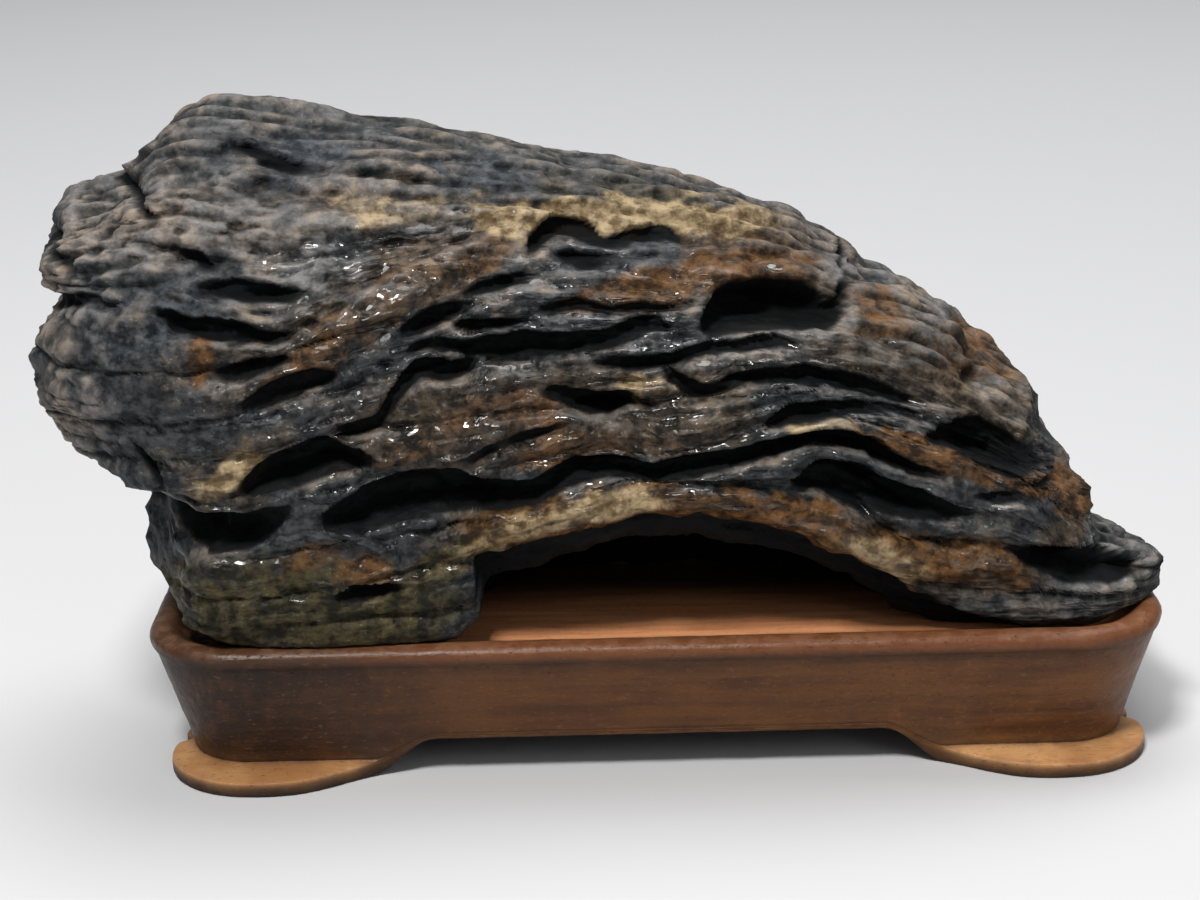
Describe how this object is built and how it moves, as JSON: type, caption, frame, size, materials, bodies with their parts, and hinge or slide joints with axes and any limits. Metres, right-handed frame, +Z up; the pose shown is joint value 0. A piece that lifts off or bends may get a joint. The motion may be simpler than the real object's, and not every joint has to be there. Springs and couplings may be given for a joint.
{
  "type": "scholar's rock on stand",
  "caption": "Layered scholar's rock with ledges, deep gaps and an arched hollow, resting in a shallow wooden tray stand with low aprons and spreading feet.",
  "frame": {"origin": "middle of the whole object's footprint, on the surface that it stands on", "axes": "+X along the length, from the tall overhanging end to the low end; +Z up; the display face with the arched hollow looks to -Y"},
  "size_m": [0.2908, 0.1102, 0.1665],
  "materials": {
    "stone": "satin",
    "wood": "satin"
  },
  "bodies": {
    "root": {"rock": "stone", "stand": "wood"}
  },
  "joints": []
}
